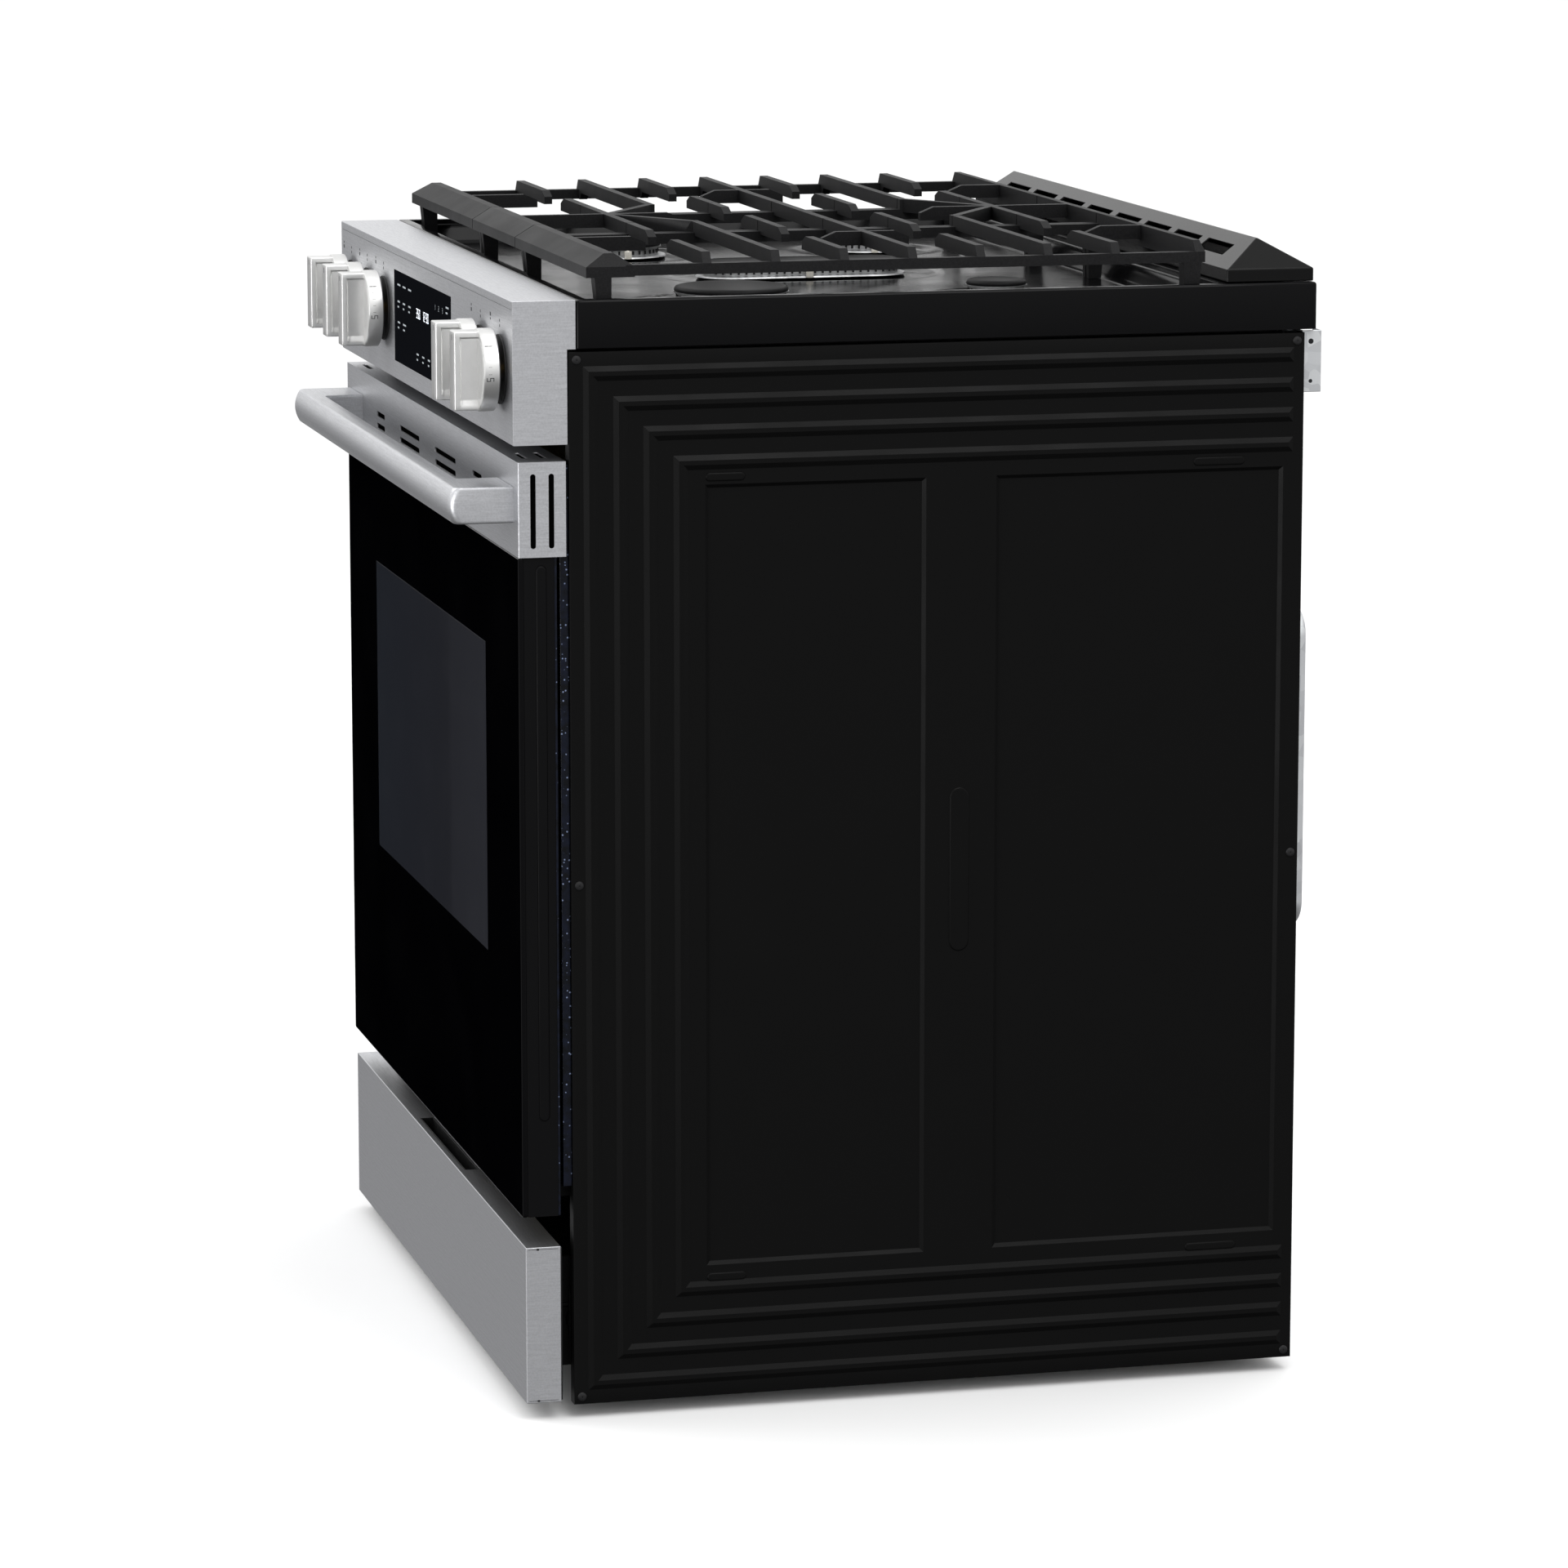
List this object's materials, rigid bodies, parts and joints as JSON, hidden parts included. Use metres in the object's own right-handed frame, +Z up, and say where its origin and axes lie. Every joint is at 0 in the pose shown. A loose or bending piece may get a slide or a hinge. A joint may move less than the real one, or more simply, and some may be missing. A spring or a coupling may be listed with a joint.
{
  "type": "freestanding gas range",
  "caption": "Slide-in gas range with a black cooktop, cast-iron grates, knobs and display on a steel fascia, a drop-down glass oven door and a storage drawer.",
  "frame": {"origin": "middle of the footprint (bounding box) on the floor", "axes": "+X to the right side of the range seen from the front, -Y is the front with the door, +Z up"},
  "size_m": [0.759, 0.7232, 0.948],
  "materials": {
    "brushed_steel": "fine horizontal brushed stainless steel, satin",
    "black_enamel": "glossy black porcelain enamel",
    "black_paint": "semi-gloss black powder coat",
    "blue_enamel": "dark blue porcelain enamel with fine light speckles",
    "cast_iron": "matte black enamelled cast iron",
    "cap_enamel": "matte black enamelled cap",
    "burner_alloy": "die-cast aluminium",
    "knob_alloy": "satin die-cast alloy",
    "black_glass": "black-backed tempered glass with a smoked window",
    "clear_glass": "clear heat-resistant glass",
    "galvanised": "galvanised sheet steel",
    "wire_chrome": "bright nickel-chrome wire",
    "burner_steel": "aluminised steel tube",
    "brass": "turned brass",
    "regulator_alloy": "cast alloy",
    "black_plastic": "matte black moulded plastic",
    "board_green": "circuit board",
    "igniter_ceramic": "white ceramic",
    "insulation_wool": "mineral wool blanket",
    "gasket_braid": "woven glass-fibre braid"
  },
  "bodies": {
    "range_body": {"bake_burner": "burner_steel", "body_screws": "black_paint", "broil_burner": "burner_steel", "burner_caps": "cap_enamel", "burner_heads": "burner_alloy", "burner_tubes": "galvanised", "chassis_frame": "galvanised", "control_board": "board_green", "control_panel": "brushed_steel", "cooktop": "black_enamel", "display_glass": "black_glass", "door_gasket": "gasket_braid", "drawer_rails": "galvanised", "gas_regulator": "regulator_alloy", "gas_valves": "brass", "hinge_brackets": "galvanised", "igniters": "igniter_ceramic", "knob_bezels": "black_plastic", "levelling_feet": "black_plastic", "manifold_pipe": "galvanised", "oven_bottom": "blue_enamel", "oven_front_frame": "blue_enamel", "oven_insulation": "insulation_wool", "oven_lamp": "clear_glass", "oven_liner": "blue_enamel", "oven_rack_lower": "wire_chrome", "oven_rack_upper": "wire_chrome", "power_inlet": "black_plastic", "rear_cover": "galvanised", "rear_panel": "galvanised", "side_panel_left": "black_paint", "side_panel_right": "black_paint", "vent_duct": "galvanised", "vent_trim": "black_enamel", "wall_brackets": "galvanised"},
    "oven_door": {"door_glass": "black_glass", "door_shell": "black_paint", "door_inner_panel": "blue_enamel", "door_inner_glass": "clear_glass", "door_trim": "brushed_steel", "handle_bar": "brushed_steel", "handle_brackets": "brushed_steel", "door_hinges": "galvanised"},
    "storage_drawer": {"drawer_front": "brushed_steel", "drawer_pull": "black_plastic", "drawer_box": "galvanised", "drawer_runners": "galvanised"},
    "grate_left_body": {"grate_left": "cast_iron"},
    "grate_centre_body": {"grate_centre": "cast_iron"},
    "grate_right_body": {"grate_right": "cast_iron"},
    "knob_push_1": {"valve_stem_1": "brass"},
    "knob_turn_1": {"knob_1": "knob_alloy"},
    "knob_push_2": {"valve_stem_2": "brass"},
    "knob_turn_2": {"knob_2": "knob_alloy"},
    "knob_push_3": {"valve_stem_3": "brass"},
    "knob_turn_3": {"knob_3": "knob_alloy"},
    "knob_push_4": {"valve_stem_4": "brass"},
    "knob_turn_4": {"knob_4": "knob_alloy"},
    "knob_push_5": {"valve_stem_5": "brass"},
    "knob_turn_5": {"knob_5": "knob_alloy"}
  },
  "joints": [
    {"name": "oven_door_hinge", "type": "hinge", "parent": "range_body", "child": "oven_door", "pos_m": [0, -0.28365, 0.184], "axis": [1, 0, 0], "range_deg": [0, 88], "stiffness_Nm_per_rad": 9, "springref_deg": -20.05},
    {"name": "storage_drawer_slide", "type": "slide", "parent": "range_body", "child": "storage_drawer", "axis": [0, -1, 0], "range_m": [0, 0.4]},
    {"name": "grate_left_lift", "type": "slide", "parent": "range_body", "child": "grate_left_body", "axis": [0, 0, 1], "range_m": [0, 0.15]},
    {"name": "grate_centre_lift", "type": "slide", "parent": "range_body", "child": "grate_centre_body", "axis": [0, 0, 1], "range_m": [0, 0.15]},
    {"name": "grate_right_lift", "type": "slide", "parent": "range_body", "child": "grate_right_body", "axis": [0, 0, 1], "range_m": [0, 0.15]},
    {"name": "knob_1_push", "type": "slide", "parent": "range_body", "child": "knob_push_1", "axis": [0, 1, 0], "range_m": [0, 0.003], "stiffness_N_per_m": 800, "springref_m": -0.001},
    {"name": "knob_1_turn", "type": "hinge", "parent": "knob_push_1", "child": "knob_turn_1", "pos_m": [-0.328, -0.3189, 0.8545], "axis": [0, -1, 0], "range_deg": [0, 225]},
    {"name": "knob_2_push", "type": "slide", "parent": "range_body", "child": "knob_push_2", "axis": [0, 1, 0], "range_m": [0, 0.003], "stiffness_N_per_m": 800, "springref_m": -0.001},
    {"name": "knob_2_turn", "type": "hinge", "parent": "knob_push_2", "child": "knob_turn_2", "pos_m": [-0.251, -0.3189, 0.8545], "axis": [0, -1, 0], "range_deg": [0, 225]},
    {"name": "knob_3_push", "type": "slide", "parent": "range_body", "child": "knob_push_3", "axis": [0, 1, 0], "range_m": [0, 0.003], "stiffness_N_per_m": 800, "springref_m": -0.001},
    {"name": "knob_3_turn", "type": "hinge", "parent": "knob_push_3", "child": "knob_turn_3", "pos_m": [-0.173, -0.3189, 0.8545], "axis": [0, -1, 0], "range_deg": [0, 225]},
    {"name": "knob_4_push", "type": "slide", "parent": "range_body", "child": "knob_push_4", "axis": [0, 1, 0], "range_m": [0, 0.003], "stiffness_N_per_m": 800, "springref_m": -0.001},
    {"name": "knob_4_turn", "type": "hinge", "parent": "knob_push_4", "child": "knob_turn_4", "pos_m": [0.252, -0.3189, 0.8545], "axis": [0, -1, 0], "range_deg": [0, 225]},
    {"name": "knob_5_push", "type": "slide", "parent": "range_body", "child": "knob_push_5", "axis": [0, 1, 0], "range_m": [0, 0.003], "stiffness_N_per_m": 800, "springref_m": -0.001},
    {"name": "knob_5_turn", "type": "hinge", "parent": "knob_push_5", "child": "knob_turn_5", "pos_m": [0.329, -0.3189, 0.8545], "axis": [0, -1, 0], "range_deg": [0, 225]}
  ]
}
